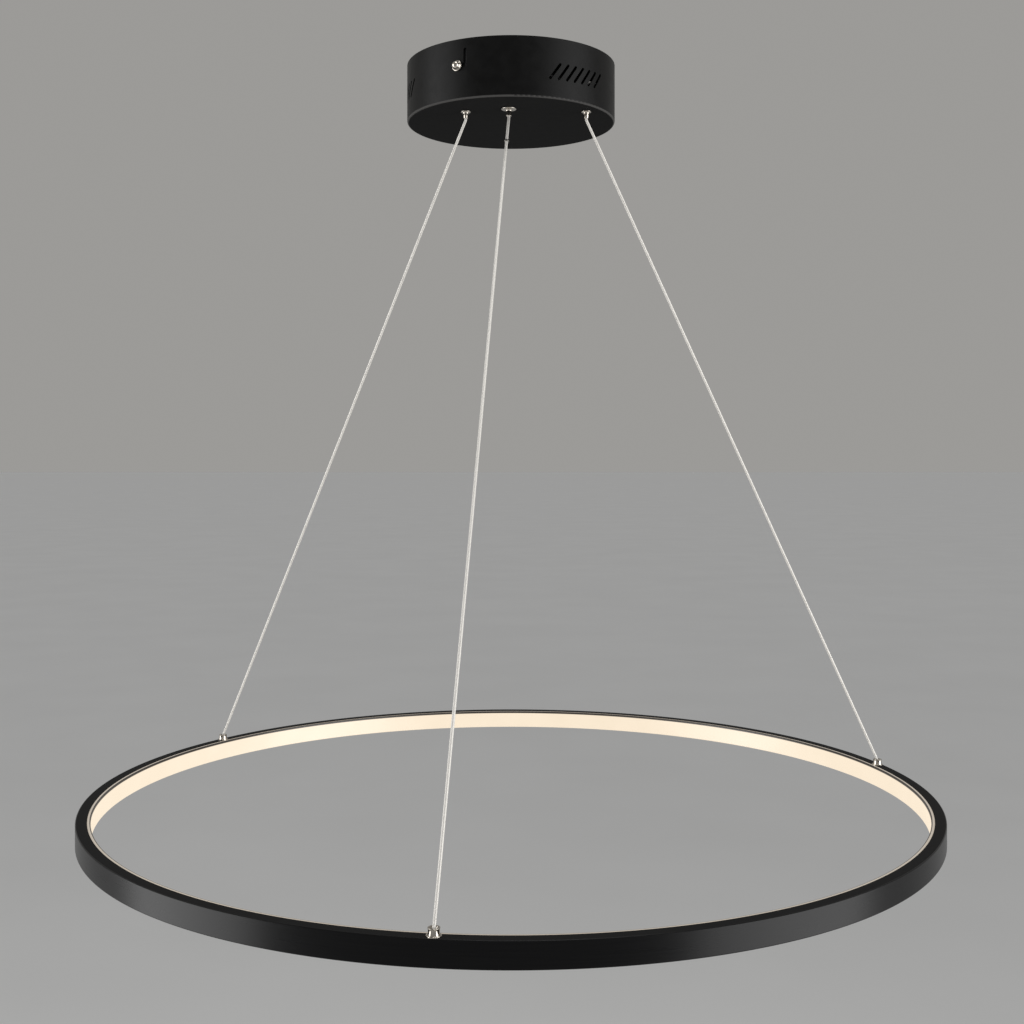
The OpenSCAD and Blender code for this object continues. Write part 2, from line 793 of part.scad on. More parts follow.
function cable_mouth(i) = [grips[i][0], grips[i][1], under_z - flange_t - stem_ls[i] - cable_turn];
function cable_pivot(i) = [socket_r * cos(socket_angles[i]), socket_r * sin(socket_angles[i]),
    ring_top + socket_h - pivot_down];
function cable_path(i) = let (m = cable_mouth(i), p = cable_pivot(i))
    rounded([[m[0], m[1], cable_top], m, p, [p[0], p[1], ring_top - spigot_l - ferrule_l + ferrule_base]],
        cable_turn, 4);
function cable_side(i) = let (m = cable_mouth(i), p = cable_pivot(i)) unit([m[1] - p[1], p[0] - m[0], 0]);

module cable(i) {
    color("lightgray") wire(cable_path(i), cable_d, cable_side(i), 10);
}

module cable_front() { cable(0); }
module cable_left() { cable(1); }
module cable_right() { cable(2); }

// Level in the photograph, square to its cable here
module cable_bead() {
    m = cable_mouth(0);
    along = unit(cable_pivot(0) - m);
    tilt = acos(along[2]);
    heading = atan2(along[1], along[0]);
    color("gray") translate(m + bead_down * along) rotate([0, tilt, heading])
        translate([0, 0, -bead_t / 2]) ring_of(bead_d, cable_d + 2 * fit, bead_t);
}

function tail_start(i) = [grips[i][0], grips[i][1], cable_top];

module cable_tails() {
    ref = [1, 0.35, 0];
    color("lightgray") {
        routed(tail_start(0), front_tail, crimp_front[1] - [tail_gap, 0, 0], cable_d, ref);
        routed(tail_start(1), left_tail, crimp_left[0] + [tail_gap, 0, 0], cable_d, ref);
        routed(tail_start(2), right_tail, crimp_right[1] - [0, tail_gap, 0], cable_d, ref);
    }
}

module crimp(ends) {
    run = ends[1] - ends[0];
    tilt = acos(run[2] / norm(run));
    translate(ends[0]) rotate([0, tilt, atan2(run[1], run[0])]) cylinder(d = crimp_d, h = norm(run));
}

module crimp_connectors() {
    color("crimson") crimp(crimp_right);
    color("crimson") crimp(crimp_front);
    color("silver") crimp(crimp_left);
}

/* [Hidden] */
// Ring

module ring_section() {
    difference() {
        union() {
            translate([ring_ri, ring_bottom]) square([ring_w - ring_edge_r, ring_h]);
            translate([ring_ri, ring_bottom + ring_edge_r]) square([ring_w, ring_h - 2 * ring_edge_r]);
            for (z = [ring_bottom + ring_edge_r, ring_top - ring_edge_r]) {
                translate([ring_r - ring_edge_r, z]) circle(r = ring_edge_r);
            }
        }
        translate([ring_ri - 1, ring_bottom + ring_wall])
            square([1 + ring_w - ring_wall, ring_h - 2 * ring_wall]);
    }
    for (z = [ring_bottom + ring_wall - eps, ring_top - ring_wall - hook + eps]) {
        translate([ring_ri, z]) square([hook, hook]);
    }
}

module at_socket(i) {
    rotate([0, 0, socket_angles[i]]) translate([socket_r, 0, ring_top]) children();
}

module ring_profile() {
    color("black") difference() {
        rotate_extrude($fn = 240) ring_section();
        for (i = [0 : 2]) {
            at_socket(i) translate([0, 0, -ring_wall - 0.2]) cylinder(d = spigot_hole, h = ring_wall + 2);
        }
    }
}

// A bar inside the profile that bridges the joint of the bent ring
module ring_joint() {
    span = 6;
    bar = 4;
    color("silver") rotate([0, 0, 90 - span / 2]) rotate_extrude(angle = span, $fn = 240)
        translate([ring_r - ring_wall - snug - bar, ring_bottom + ring_wall + snug]) square([bar, 3]);
}

module diffuser() {
    top = ring_top - diffuser_edge;
    low = ring_bottom + diffuser_edge;
    face_r = ring_ri - diffuser_proud;
    back_r = ring_ri - fit;
    catch_r = ring_ri + hook + fit;
    catch_w = 0.4;
    soft = 0.8;
    color("ivory") rotate_extrude($fn = 240) {
        translate([face_r + soft, low]) square([back_r - face_r - soft, top - low]);
        translate([face_r, low + soft]) square([back_r - face_r, top - low - 2 * soft]);
        for (z = [low + soft, top - soft]) {
            translate([face_r + soft, z]) circle(r = soft);
        }
        for (s = [-1, 1]) {
            leg_mid = ring_mid + s * (ring_h / 2 - ring_wall - hook - fit - leg_t / 2);
            translate([back_r - eps, leg_mid - leg_t / 2])
                square([catch_r + catch_w - back_r + eps, leg_t]);
            translate([catch_r, leg_mid + s * leg_t / 2 - (s > 0 ? eps : hook)])
                square([catch_w, hook + eps]);
        }
    }
}

module led_strip() {
    color("white") rotate_extrude($fn = 240)
        translate([strip_r - strip_t, ring_mid - strip_w / 2]) square([strip_t, strip_w]);
}

module led_chips() {
    color("gold") for (i = [0 : chip_n - 1]) {
        rotate([0, 0, (i + 0.5) * 360 / chip_n])
            translate([chip_r - chip_t, -chip_l / 2, ring_mid - chip_h / 2]) cube([chip_t, chip_l, chip_h]);
    }
}

// Two short leads from the ferrules of the feed cables to the strip
module strip_leads() {
    wire_d = 1;
    reach = strip_r - strip_t - snug - wire_d / 2 - socket_r;
    start = -spigot_l - ferrule_l;
    low = -ring_h / 2 - strip_w / 2 + wire_d / 2 + 0.4;
    color("white") for (i = [0, 2]) {
        at_socket(i) wire(rounded([[0, 0, start - snug], [0, 0, start - 1.6], [reach / 2, 3, low],
            [reach, 6, low], [reach, 8, low]], 0.7, 4), wire_d, [1, 0, 0.2]);
    }
}

module socket(i) {
    bore = cable_bore / 2;
    color("gainsboro") at_socket(i) rotate_extrude() difference() {
        union() {
            square([socket_flange / 2, socket_flange_t]);
            square([socket_d / 2, socket_h]);
            translate([0, -spigot_l]) square([spigot_d / 2, spigot_l + 1]);
        }
        translate([socket_d / 2 + waist_r - waist_depth, waist_up]) circle(r = waist_r, $fn = 120);
        translate([-1, -spigot_l - 1]) square([1 + bore, spigot_l + socket_h + 2]);
        polygon([[0, socket_h - mouth_depth], [bore, socket_h - mouth_depth], [mouth_r, socket_h - 0.4],
            [mouth_r + 0.3, socket_h + eps], [0, socket_h + eps]]);
    }
}

module socket_front_cable() { socket(0); }
module socket_left_cable() { socket(1); }
module socket_right_cable() { socket(2); }

module socket_washers() {
    color("silver") for (i = [0 : 2]) {
        at_socket(i) translate([0, 0, -ring_wall - socket_washer_t])
            ring_of(socket_washer_d, spigot_d + 2 * fit, socket_washer_t);
    }
}

module socket_nuts() {
    color("silver") for (i = [0 : 2]) {
        at_socket(i) translate([0, 0, -ring_wall - socket_washer_t - socket_nut_t]) rotate([0, 0, 30])
            hex_nut(socket_nut_af, spigot_d + 2 * snug, socket_nut_t);
    }
}

module cable_ferrules() {
    color("goldenrod") for (i = [0 : 2]) {
        at_socket(i) translate([0, 0, -spigot_l - ferrule_l]) difference() {
            cylinder(d = ferrule_d, h = ferrule_l - snug);
            translate([0, 0, ferrule_base - snug]) cylinder(d = cable_d + 2 * snug, h = ferrule_l);
        }
    }
}

ceiling_bracket();
clinch_nuts();
supply_grommet();
earth_screw();
earth_washer();
side_screw_front();
side_screw_rear();
canopy_shell();
canopy_studs();
stud_nuts();
driver_strap();
driver_base();
driver_lid();
driver_board();
driver_parts();
terminal_block();
terminal_screws();
input_leads();
output_leads();
gripper_body_front();
gripper_body_left();
gripper_body_right();
gripper_washers();
gripper_nuts();
gripper_caps();
gripper_spring_front();
gripper_spring_left();
gripper_spring_right();
plunger_front();
plunger_left();
plunger_right();
gripper_balls_front();
gripper_balls_left();
gripper_balls_right();
cable_front();
cable_left();
cable_right();
cable_bead();
cable_tails();
crimp_connectors();
ring_profile();
ring_joint();
diffuser();
led_strip();
led_chips();
strip_leads();
socket_front_cable();
socket_left_cable();
socket_right_cable();
socket_washers();
socket_nuts();
cable_ferrules();
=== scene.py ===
"""Ring pendant light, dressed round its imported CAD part.

Sizes are in millimetres in this file, and a mesh is made in metres. The ceiling is z = 0, the
canopy's axis is x = y = 0, and the front faces -Y.
"""
import math

import bmesh
import bpy
import numpy as np
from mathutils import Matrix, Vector


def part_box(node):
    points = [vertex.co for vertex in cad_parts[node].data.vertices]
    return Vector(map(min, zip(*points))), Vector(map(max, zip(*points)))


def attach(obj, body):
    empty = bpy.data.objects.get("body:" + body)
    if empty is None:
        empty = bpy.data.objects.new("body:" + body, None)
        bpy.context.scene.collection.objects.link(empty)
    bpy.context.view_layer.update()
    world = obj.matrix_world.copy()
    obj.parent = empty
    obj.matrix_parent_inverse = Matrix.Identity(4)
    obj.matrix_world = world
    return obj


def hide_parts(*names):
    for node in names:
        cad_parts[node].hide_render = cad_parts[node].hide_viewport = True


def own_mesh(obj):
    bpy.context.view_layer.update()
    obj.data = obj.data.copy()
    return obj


MM = 0.001

# Points of a mesh that are closer than this, in metres, are one.
SAME_PLACE = 1e-7

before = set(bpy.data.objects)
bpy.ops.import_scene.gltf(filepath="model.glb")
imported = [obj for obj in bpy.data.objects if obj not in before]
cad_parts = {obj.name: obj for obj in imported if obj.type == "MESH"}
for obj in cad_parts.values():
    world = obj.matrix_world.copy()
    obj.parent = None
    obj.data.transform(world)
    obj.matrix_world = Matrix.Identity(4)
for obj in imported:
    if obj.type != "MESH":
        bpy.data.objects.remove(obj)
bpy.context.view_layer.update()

# Canopy, ring and diffuser: radii from the axis and heights below the ceiling.
CANOPY_R, CANOPY_UNDER = 100.0, -55.0
RING_R, RING_INNER, RING_TOP, RING_BOTTOM = 400.0, 390.0, -696.5, -716.5
DIFFUSER_FACE, DIFFUSER_BACK = 387.0, 389.9
DIFFUSER_TOP, DIFFUSER_BOTTOM = -696.75, -716.25

# The sockets on the ring, and the height of the point in them where a cable bends.
SOCKET_R, SOCKET_UP, PIVOT_DOWN = 394.4, 5.8, 1.0
PIVOT_Z = RING_TOP + SOCKET_UP - PIVOT_DOWN

# The screws in the canopy's wall: plan angles, the radius where their heads start, which is
# just outside the wall, and their height.
SCREW_ANGLES, SCREW_SEAT, SCREW_Z = {"front": 241.1, "rear": 61.1}, 100.35, -24.3

# The cables and their grippers. Heights in STEM_LOW count from the canopy's underside.
PLACES = ("front", "left", "right")
GRIPS = {"front": (-2.0, -59.0), "left": (-42.0, -49.0), "right": (70.0, -49.0)}
FLANGE_R = {"front": 7.0, "left": 4.6, "right": 4.6}
STEM_R = {"front": 2.6, "left": 2.35, "right": 2.35}
STEM_LOW = {"front": -7.0, "left": -6.5, "right": -6.5}
MOUTHS = {"front": -63.5, "left": -63.0, "right": -63.0}
SOCKET_ANGLES = {"front": 262.5, "left": 146.0, "right": 14.5}
CABLE_TOP, CABLE_END, CABLE_D, BORE_R = -35.2, -704.9, 2.5, 1.5
CABLE_EASE, CABLE_GAP = 1.5, 6.0
BEAD_DOWN, BEAD_R, BEAD_BORE, BEAD_T = 28.0, 2.2, 1.3, 1.6

# Steps round the ring, and round the small turned pieces.
RING_STEPS, FITTING_STEPS = 720, 56


def polar(radius, angle):
    """The point at a radius and a plan angle in degrees, from +X towards +Y."""
    return radius * math.cos(math.radians(angle)), radius * math.sin(math.radians(angle))


SOCKETS = {place: polar(SOCKET_R, SOCKET_ANGLES[place]) for place in PLACES}


# Camera

def make_camera():
    """A level camera at the photograph's place, in metres, with the shift that puts the
    horizon where the photograph has it."""
    data = bpy.data.cameras.new("camera")
    camera = bpy.data.objects.new("camera", data)
    bpy.context.scene.collection.objects.link(camera)
    data.sensor_width = 36.0
    data.lens = 46.0
    data.shift_x, data.shift_y = 0.001, -0.0518
    data.clip_start, data.clip_end = 0.01, 200.0
    camera.location = (0.0, -1.265, -0.378)
    camera.rotation_euler = (math.radians(90.0), 0.0, 0.0)
    bpy.context.scene.camera = camera


make_camera()


# Surfaces

def new_piece(name, points, faces, uv=None):
    """An object at the origin with this mesh: points in mm, faces as rows of four corners.
    Coincident points are merged, so that seams and poles close."""
    mesh = bpy.data.meshes.new(name)
    mesh.vertices.add(len(points))
    mesh.vertices.foreach_set("co", (points * MM).astype(np.float32).ravel())
    mesh.loops.add(faces.size)
    mesh.loops.foreach_set("vertex_index", faces.astype(np.int32).ravel())
    mesh.polygons.add(len(faces))
    starts = np.arange(0, faces.size, faces.shape[1], dtype=np.int32)
    mesh.polygons.foreach_set("loop_start", starts)
    mesh.polygons.foreach_set("use_smooth", np.ones(len(faces), bool))
    mesh.update(calc_edges=True)
    if uv is not None:
        layer = mesh.uv_layers.new(name="along")
        layer.uv.foreach_set("vector", uv.astype(np.float32).ravel())
    shape = bmesh.new()
    shape.from_mesh(mesh)
    bmesh.ops.remove_doubles(shape, verts=shape.verts, dist=SAME_PLACE)
    bmesh.ops.recalc_face_normals(shape, faces=shape.faces)
    shape.to_mesh(mesh)
    shape.free()
    mesh.validate()
    piece = bpy.data.objects.new(name, mesh)
    bpy.context.scene.collection.objects.link(piece)
    return piece


def grid_faces(rows, columns, close_rows, close_columns):
    """The corners of each quad between neighbours on a grid, round the end where it is
    closed."""
    i, j = np.meshgrid(np.arange(rows if close_rows else rows - 1),
                       np.arange(columns if close_columns else columns - 1), indexing="ij")
    i2, j2 = (i + 1) % rows, (j + 1) % columns
    corners = [i * columns + j, i2 * columns + j, i2 * columns + j2, i * columns + j2]
    return np.stack(corners, -1).reshape(-1, 4)


def eased(corners, steps=4):
    """An outline through (x, y, radius) corners. Each corner becomes an arc of its radius, of
    equal turns about the point where the two sides' offsets meet. A point just outside each
    end of the arc, a fifth of the radius away, keeps the flats flat."""
    p = np.array([c[:2] for c in corners], float)
    outline = []
    for k, (x, y, radius) in enumerate(corners):
        a, b = p[k - 1] - p[k], p[(k + 1) % len(p)] - p[k]
        if radius <= 0:
            outline.append(p[k])
            continue
        a, b = a / np.linalg.norm(a), b / np.linalg.norm(b)
        half = math.acos(np.clip(a @ b, -1, 1)) / 2
        reach = radius / math.tan(half)
        middle = p[k] + (a + b) / np.linalg.norm(a + b) * radius / math.sin(half)
        start, end = p[k] + a * reach - middle, p[k] + b * reach - middle
        turn = math.atan2(start[0] * end[1] - start[1] * end[0], start @ end)
        t = np.linspace(0, turn, steps + 1)
        arc = middle + np.stack([start[0] * np.cos(t) - start[1] * np.sin(t),
                                 start[0] * np.sin(t) + start[1] * np.cos(t)], -1)
        beside = reach + radius * 0.2
        outline += [p[k] + a * beside, *arc, p[k] + b * beside]
    return np.array(outline)


def turned(name, outline, centre=(0.0, 0.0, 0.0), steps=48, along=(0.0, 0.0, 1.0), loop=True):
    """A surface of revolution: each (r, h) of the outline goes to r cos a, r sin a, h round
    an axis through centre, with a in equal steps of a full turn, and the axis is then turned
    from +Z to the direction along."""
    a = np.linspace(0, 2 * np.pi, steps, endpoint=False)
    r, h = outline[:, 0, None], outline[:, 1, None]
    points = np.stack([r * np.cos(a), r * np.sin(a), h + 0 * a], -1).reshape(-1, 3)
    z = np.array(along, float) / np.linalg.norm(along)
    upright = abs(z[2]) >= 0.999
    side = np.array([1.0, 0.0, 0.0]) if upright else np.cross([0.0, 0.0, 1.0], z)
    x = side / np.linalg.norm(side)
    points = points @ np.stack([x, np.cross(z, x), z]) + np.array(centre)
    return new_piece(name, points, grid_faces(len(outline), steps, loop, True))


def bent(points, cut, steps=8):
    """A path on straight runs whose corners are eased: from cut before a corner to cut after
    it the path is the quadratic curve (1-t)^2 A + 2t(1-t) P + t^2 B."""
    p = np.array(points, float)
    t = np.linspace(0, 1, steps + 1)[:, None]
    path = [p[:1]]
    for a, b, c in zip(p[:-2], p[1:-1], p[2:]):
        start = b + cut * (a - b) / np.linalg.norm(a - b)
        end = b + cut * (c - b) / np.linalg.norm(c - b)
        path.append((1 - t) ** 2 * start + 2 * t * (1 - t) * b + t ** 2 * end)
    return np.concatenate(path + [p[-1:]])


def spaced(path, gap):
    """The path with points added so that no two are further apart than gap, in equal parts of
    each run."""
    out = [path[:1]]
    for a, b in zip(path[:-1], path[1:]):
        n = max(1, math.ceil(np.linalg.norm(b - a) / gap))
        out.append(a + (b - a) * np.linspace(0, 1, n + 1)[1:, None])
    return np.concatenate(out)


def tube(name, path, diameter, sides=16):
    """A round tube on a path: at each point a circle square to the path, in a frame that is
    carried along it without twist, and a shrunk circle at each end that closes it. The map
    holds turns round it and millimetres along it."""
    path = np.asarray(path, float)
    tangent = np.gradient(path, axis=0)
    tangent /= np.linalg.norm(tangent, axis=1)[:, None]
    # The first frame starts from a direction that no path here starts along.
    side = np.cross(tangent[0], [0.31, 0.87, 0.4])
    frames = []
    for t in tangent:
        side = side - (side @ t) * t
        side /= np.linalg.norm(side)
        frames.append(side)
    u = np.array(frames)
    v = np.cross(tangent, u)
    a = np.linspace(0, 2 * np.pi, sides, endpoint=False)
    circle = u[:, None] * np.cos(a)[:, None] + v[:, None] * np.sin(a)[:, None]
    rows = path[:, None] + circle * diameter / 2
    ends = [np.repeat(path[k, None, None], sides, 1) for k in (0, -1)]
    rows = np.concatenate([ends[0], rows, ends[1]])
    run = np.concatenate([[0], np.cumsum(np.linalg.norm(np.diff(path, axis=0), axis=1))])
    run = np.concatenate([run[:1], run, run[-1:]])
    faces = grid_faces(len(rows), sides, False, True)
    row, column = faces // sides, np.tile(np.arange(sides), len(rows) - 1)
    across = np.stack([column, column, column + 1, column + 1], -1) / sides
    return new_piece(name, rows.reshape(-1, 3), faces, np.stack([across, run[row]], -1))


# Cables

def cable_route(place):
    """The route of a feed cable, from the top of its gripper out of the mouth to the socket's
    pivot and its ferrule."""
    gx, gy = GRIPS[place]
    sx, sy = SOCKETS[place]
    runs = [(gx, gy, CABLE_TOP), (gx, gy, MOUTHS[place]), (sx, sy, PIVOT_Z), (sx, sy, CABLE_END)]
    return spaced(bent(runs, CABLE_EASE), CABLE_GAP)


def shorten(piece):
    """Gives a piece on a feed cable its own copy of its mesh."""
    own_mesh(piece)


cables = {}
for place in PLACES:
    route = cable_route(place)
    cable = tube(f"feed_cable_{place}", route, CABLE_D)
    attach(cable, "canopy")
    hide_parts(f"cable_{place}")
    shorten(cable)
    cables[place] = cable


# Bead, grippers, sockets, ring and screws. The corners of their outlines are radius, height
# and the radius that eases the corner, in mm.

def make_bead():
    """A crimped bead: a ring round the front cable, square to it."""
    mouth = np.array([*GRIPS["front"], MOUTHS["front"]])
    pivot = np.array([*SOCKETS["front"], PIVOT_Z])
    along = (pivot - mouth) / np.linalg.norm(pivot - mouth)
    half = BEAD_T / 2
    outline = eased([(BEAD_BORE, -half, 0.1), (BEAD_R, -half, 0.45),
                     (BEAD_R, half, 0.45), (BEAD_BORE, half, 0.1)])
    bead = turned("cable_bead_crimped", outline, mouth + along * BEAD_DOWN,
                  steps=40, along=along)
    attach(bead, "canopy")
    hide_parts("cable_bead")
    shorten(bead)
    return bead


def make_gripper_body(place):
    """A threaded sleeve with a flange. Under the flange the neck is a quarter of an ellipse,
    from upright at its foot to flat at the flange: r = foot + reach (1 - cos t),
    h = -1 - neck (1 - sin t)."""
    foot, neck = STEM_R[place] + 0.4, 1.6
    reach = 2.6 if place == "front" else 1.1
    t = np.linspace(0, np.pi / 2, 9)[1:]
    trumpet = [(foot + reach * (1 - math.cos(a)), -1 - neck * (1 - math.sin(a)), 0) for a in t]
    bore, flange = STEM_R[place] + 0.05, FLANGE_R[place]
    outline = eased([(bore, -1 - neck, 0.08), (foot, -1 - neck, 0.12), *trumpet,
                     (flange, -1.0, 0.45), (flange, 0.0, 0.2), (3.7, 0.0, 0.05),
                     (3.7, 18.2, 0.3), (2.85, 18.2, 0.1), (2.85, 9.6, 0),
                     (2.2, 6.0, 0), (2.2, 5.0, 0), (bore, 5.0, 0)])
    centre = (*GRIPS[place], CANOPY_UNDER)
    body = turned(f"gripper_{place}_trumpet", outline, centre, steps=FITTING_STEPS)
    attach(body, "canopy")
    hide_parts(f"gripper_body_{place}")
    return body


def make_plunger(place):
    """The tube that is pressed to free the cable. The side ones narrow towards the cable."""
    low, stem = STEM_LOW[place], STEM_R[place]
    straight = place == "front"
    tip, shoulder = (stem, 0) if straight else (BORE_R + 0.5, 0.5)
    outline = eased([(BORE_R + 0.2, low, 0.05), (tip, low, 0.25), (stem, -3.5, shoulder),
                     (stem, 3.2, 0.2), (2.1, 3.2, 0), (2.1, 10.5, 0.2),
                     (BORE_R, 10.5, 0.05), (BORE_R, low + 1.2, 0.3)])
    plunger = turned(f"plunger_{place}_tube", outline, (*GRIPS[place], CANOPY_UNDER))
    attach(plunger, f"plunger_{place}")
    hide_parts(f"plunger_{place}")
    return plunger


def make_spring(place):
    """The coil spring on the plunger, a wire on the helix r cos 2 pi n t, r sin 2 pi n t of n
    turns with even rise."""
    low, high = (np.array(corner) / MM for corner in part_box(f"gripper_spring_{place}"))
    wire, turns, points = 0.4, 5, 121
    foot, top = low[2] + wire / 2, high[2] - wire / 2
    r, t = (high[0] - low[0] - wire) / 2, np.linspace(0, 1, points)
    angle = 2 * turns * np.pi * t
    gx, gy = GRIPS[place]
    path = np.stack([gx + r * np.cos(angle), gy + r * np.sin(angle), foot + (top - foot) * t], -1)
    spring = tube(f"coil_spring_{place}", path, wire, sides=10)
    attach(spring, "canopy")
    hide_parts(f"gripper_spring_{place}")
    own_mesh(spring)
    return spring


def make_socket(place):
    """The turned cup that a cable enters: a thin flange, a barrel whose waist is an arc of
    9 mm round a point at its middle height, and a wide mouth."""
    top, flange, barrel = SOCKET_UP, 5.5, 4.4
    arc, middle, inset = 9.0, 3.3, 8.7
    z = np.linspace(1.05, 5.5, 9)
    waist = [(barrel + inset - math.sqrt(arc ** 2 - (h - middle) ** 2), h, 0) for h in z]
    outline = eased([(BORE_R, -4.8, 0.1), (2.3, -4.8, 0.3), (2.3, 0.0, 0), (flange, 0.0, 0.1),
                     (flange, 0.8, 0.3), (barrel, 0.8, 0.12), *waist, (barrel, top, 0.25),
                     (3.3, top, 0.2), (3.0, top - 0.4, 0.1), (BORE_R, top - 2.6, 0.2)])
    centre = (*SOCKETS[place], RING_TOP)
    socket = turned(f"socket_{place}_cup", outline, centre, steps=FITTING_STEPS)
    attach(socket, "ring")
    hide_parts(f"socket_{place}_cable")
    return socket


def make_profile():
    """The ring's black channel: its section turned round the ring's axis. It is open towards
    the axis, and its two lips end in small hooks that the diffuser clips behind."""
    top, low, wall, hook = RING_TOP, RING_BOTTOM, 1.3, 0.5
    inner, behind = RING_INNER, RING_INNER + hook
    outline = eased([(inner, top, 0.2), (RING_R, top, 0.8), (RING_R, low, 0.8),
                     (inner, low, 0.2), (inner, low + wall + hook, 0.1),
                     (behind, low + wall + hook, 0.1), (behind, low + wall, 0),
                     (RING_R - wall, low + wall, 0.3), (RING_R - wall, top - wall, 0.3),
                     (behind, top - wall, 0), (behind, top - wall - hook, 0.1),
                     (inner, top - wall - hook, 0.1)], steps=5)
    profile = turned("ring_channel", outline, steps=RING_STEPS)
    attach(profile, "ring")
    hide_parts("ring_profile")
    return profile


def make_diffuser():
    """The opal strip: its section turned round the ring's axis, with rounded rims in front of
    the channel and two legs whose catches sit behind the channel's hooks."""
    top, low, face, back = DIFFUSER_TOP, DIFFUSER_BOTTOM, DIFFUSER_FACE, DIFFUSER_BACK
    catch, tip = RING_INNER + 0.6, RING_INNER + 1.0
    upper = [(back, -1.9), (catch, -1.9), (catch, -1.4), (tip, -1.4), (tip, -2.9), (back, -2.9)]
    legs = [(r, RING_TOP + h, 0) for r, h in upper]
    legs += [(r, RING_BOTTOM - h, 0) for r, h in reversed(upper)]
    outline = eased([(face, top, 0.8), (back, top, 0.1), *legs, (back, low, 0.1),
                     (face, low, 0.8)], steps=6)
    strip = turned("opal_strip", outline, steps=RING_STEPS)
    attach(strip, "ring")
    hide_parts("diffuser")
    return strip


def make_side_screw(place):
    """A screw whose head is a disc, a grooved collar and a dome, each a part of one outline
    round the screw's axis. The dome is an arc of 3.55 mm and the groove one of 1.3 mm."""
    dome_r, dome_at, groove_r, groove_at = 3.55, 2.45, 1.3, (5.1, 2.3)
    dome = [(dome_r * math.cos(a), dome_at + dome_r * math.sin(a), 0)
            for a in np.linspace(0.12, np.pi / 2, 10)[:-1]]
    groove = [(groove_at[0] - groove_r * math.sin(a), groove_at[1] - groove_r * math.cos(a), 0)
              for a in np.linspace(0.75, 1.6, 6)]
    outline = eased([(0.0, -8.46, 0), (1.5, -8.46, 0.2), (1.5, -2.46, 0.1), (1.3, -2.46, 0),
                     (1.3, 0.0, 0), (4.75, 0.0, 0.15), (4.75, 1.0, 0.3), (4.15, 1.0, 0),
                     *groove, (3.58, dome_at, 0), *dome, (0.0, dome_at + dome_r, 0)])
    a = math.radians(SCREW_ANGLES[place])
    out = (math.cos(a), math.sin(a), 0.0)
    seat = (SCREW_SEAT * out[0], SCREW_SEAT * out[1], SCREW_Z)
    screw = turned(f"side_screw_{place}_turned", outline, seat, steps=FITTING_STEPS, along=out,
                   loop=False)
    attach(screw, f"side_screw_{place}")
    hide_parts(f"side_screw_{place}")
    return screw


bead = make_bead()
turned_nickel = [make(place) for make in (make_gripper_body, make_plunger, make_socket)
                 for place in PLACES]
turned_nickel += [make_side_screw(place) for place in SCREW_ANGLES]
profile, opal_strip = make_profile(), make_diffuser()
springs = [make_spring(place) for place in PLACES]


# Finishes

# A colour Mix node's sockets by place, because their names repeat.
MIX_AMOUNT, MIX_FROM, MIX_TO, MIX_RESULT = 0, 6, 7, 2

# The part of its range that a noise mostly stays in, as a Map Range node's inputs.
DRIFT_LOW, DRIFT_HIGH = 0.3, 0.7
FROM_DRIFT = {"From Min": DRIFT_LOW, "From Max": DRIFT_HIGH}

METAL = {"Metallic": 1.0}
EVEN = (1.0, 1.0, 1.0)


def linear(colour):
    """An sRGB hex colour as linear red, green, blue and 1."""
    parts = [int(colour[i:i + 2], 16) / 255 for i in (1, 3, 5)]
    return [c / 12.92 if c <= 0.04045 else ((c + 0.055) / 1.055) ** 2.4 for c in parts] + [1.0]


def feed(tree, node, inputs):
    """Fills a node's inputs: a socket is linked, and anything else is the input's value."""
    for key, value in inputs.items():
        if isinstance(value, bpy.types.NodeSocket):
            tree.links.new(value, node.inputs[key])
        else:
            node.inputs[key].default_value = value


def add(tree, kind, inputs=(), stops=(), **settings):
    """Adds a shader node with its settings and inputs, and returns its outputs. The stops of
    a colour ramp are pairs of a place and a colour, from its low end to its high end."""
    made = tree.nodes.new("ShaderNode" + kind)
    for key, value in settings.items():
        setattr(made, key, value)
    if stops:
        ramp = made.color_ramp.elements
        ramp[0].position, ramp[1].position = stops[0][0], stops[-1][0]
        ramp[0].color, ramp[1].color = linear(stops[0][1]), linear(stops[-1][1])
        for position, colour in stops[1:-1]:
            ramp.new(position).color = linear(colour)
    feed(tree, made, dict(inputs))
    return made.outputs


def start_finish(name):
    """A material with a Principled shader. Returns the material, its tree, the shader and the
    texture coordinates."""
    material = bpy.data.materials.new(name)
    material.use_nodes = True
    tree = material.node_tree
    return material, tree, tree.nodes["Principled BSDF"], add(tree, "TexCoord")


def speckle(tree, vector, size, detail=2.0, stretch=EVEN):
    """A noise whose marks are size millimetres across, stretched where stretch is under 1."""
    scaled = add(tree, "Mapping", {"Vector": vector, "Scale": stretch})["Vector"]
    return add(tree, "TexNoise", {"Vector": scaled, "Scale": 1.0 / (size * MM),
                                  "Detail": detail})["Fac"]


def from_axis(tree, vector):
    """The distance from the object's own upright axis."""
    flat = add(tree, "VectorMath", {0: vector, 1: (1.0, 1.0, 0.0)},
               operation="MULTIPLY")["Vector"]
    return add(tree, "VectorMath", {0: flat}, operation="LENGTH")["Value"]


